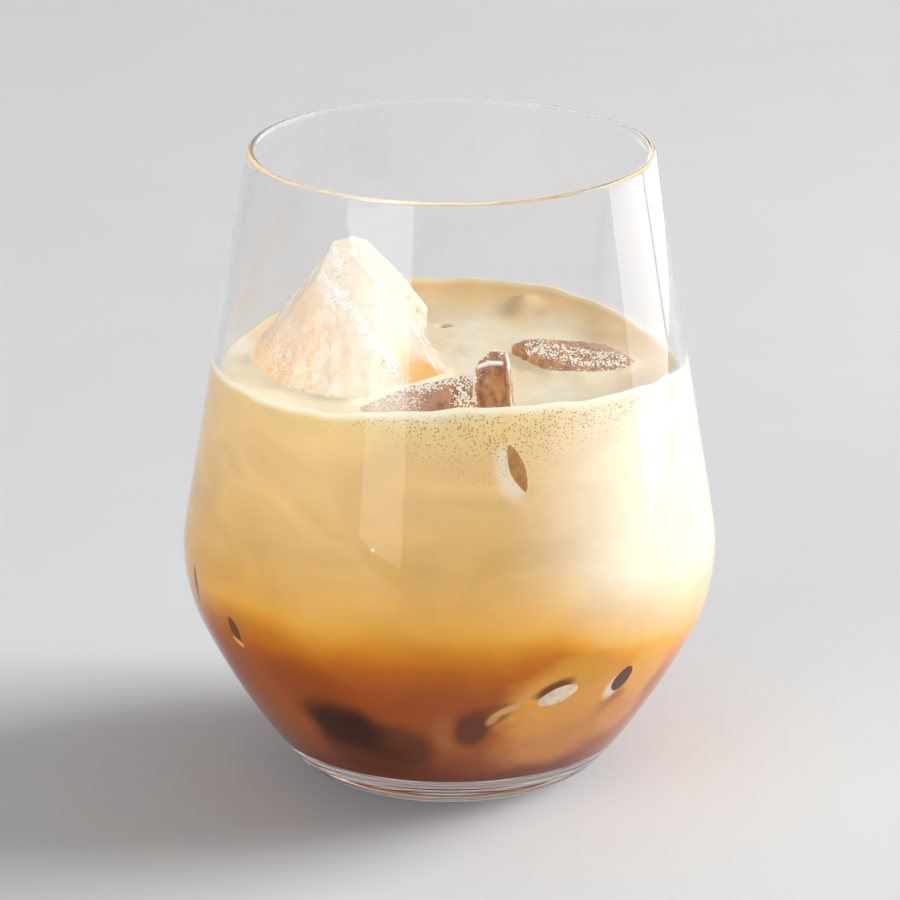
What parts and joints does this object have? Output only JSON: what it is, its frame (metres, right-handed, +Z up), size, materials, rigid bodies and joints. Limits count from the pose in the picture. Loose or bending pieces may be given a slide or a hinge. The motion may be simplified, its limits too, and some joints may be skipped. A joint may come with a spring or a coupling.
{
  "type": "iced coffee in a stemless glass",
  "caption": "Stemless glass tumbler holding iced coffee: dark coffee at the bottom, milk foam above, with chipped ice floating in it, built to stand on its flat foot.",
  "frame": {"origin": "middle of the flat foot, on the surface that the glass stands on", "axes": "+Z up along the glass's axis; the front, where the low centre ice lies near the wall, faces -Y; +X to the right seen from the front"},
  "size_m": [0.092, 0.092, 0.11],
  "materials": {
    "glass": "clear soda-lime glass, polished",
    "coffee": "dark brown coffee, amber where light comes through",
    "milk_foam": "pale creamy coffee and milk foam with fine bubbles",
    "ice": "frosted chipped ice"
  },
  "bodies": {
    "root": {"glass": "glass", "espresso": "coffee", "milk_foam": "milk_foam", "ice_large": "ice", "ice_centre": "ice", "ice_right": "ice"}
  },
  "joints": []
}
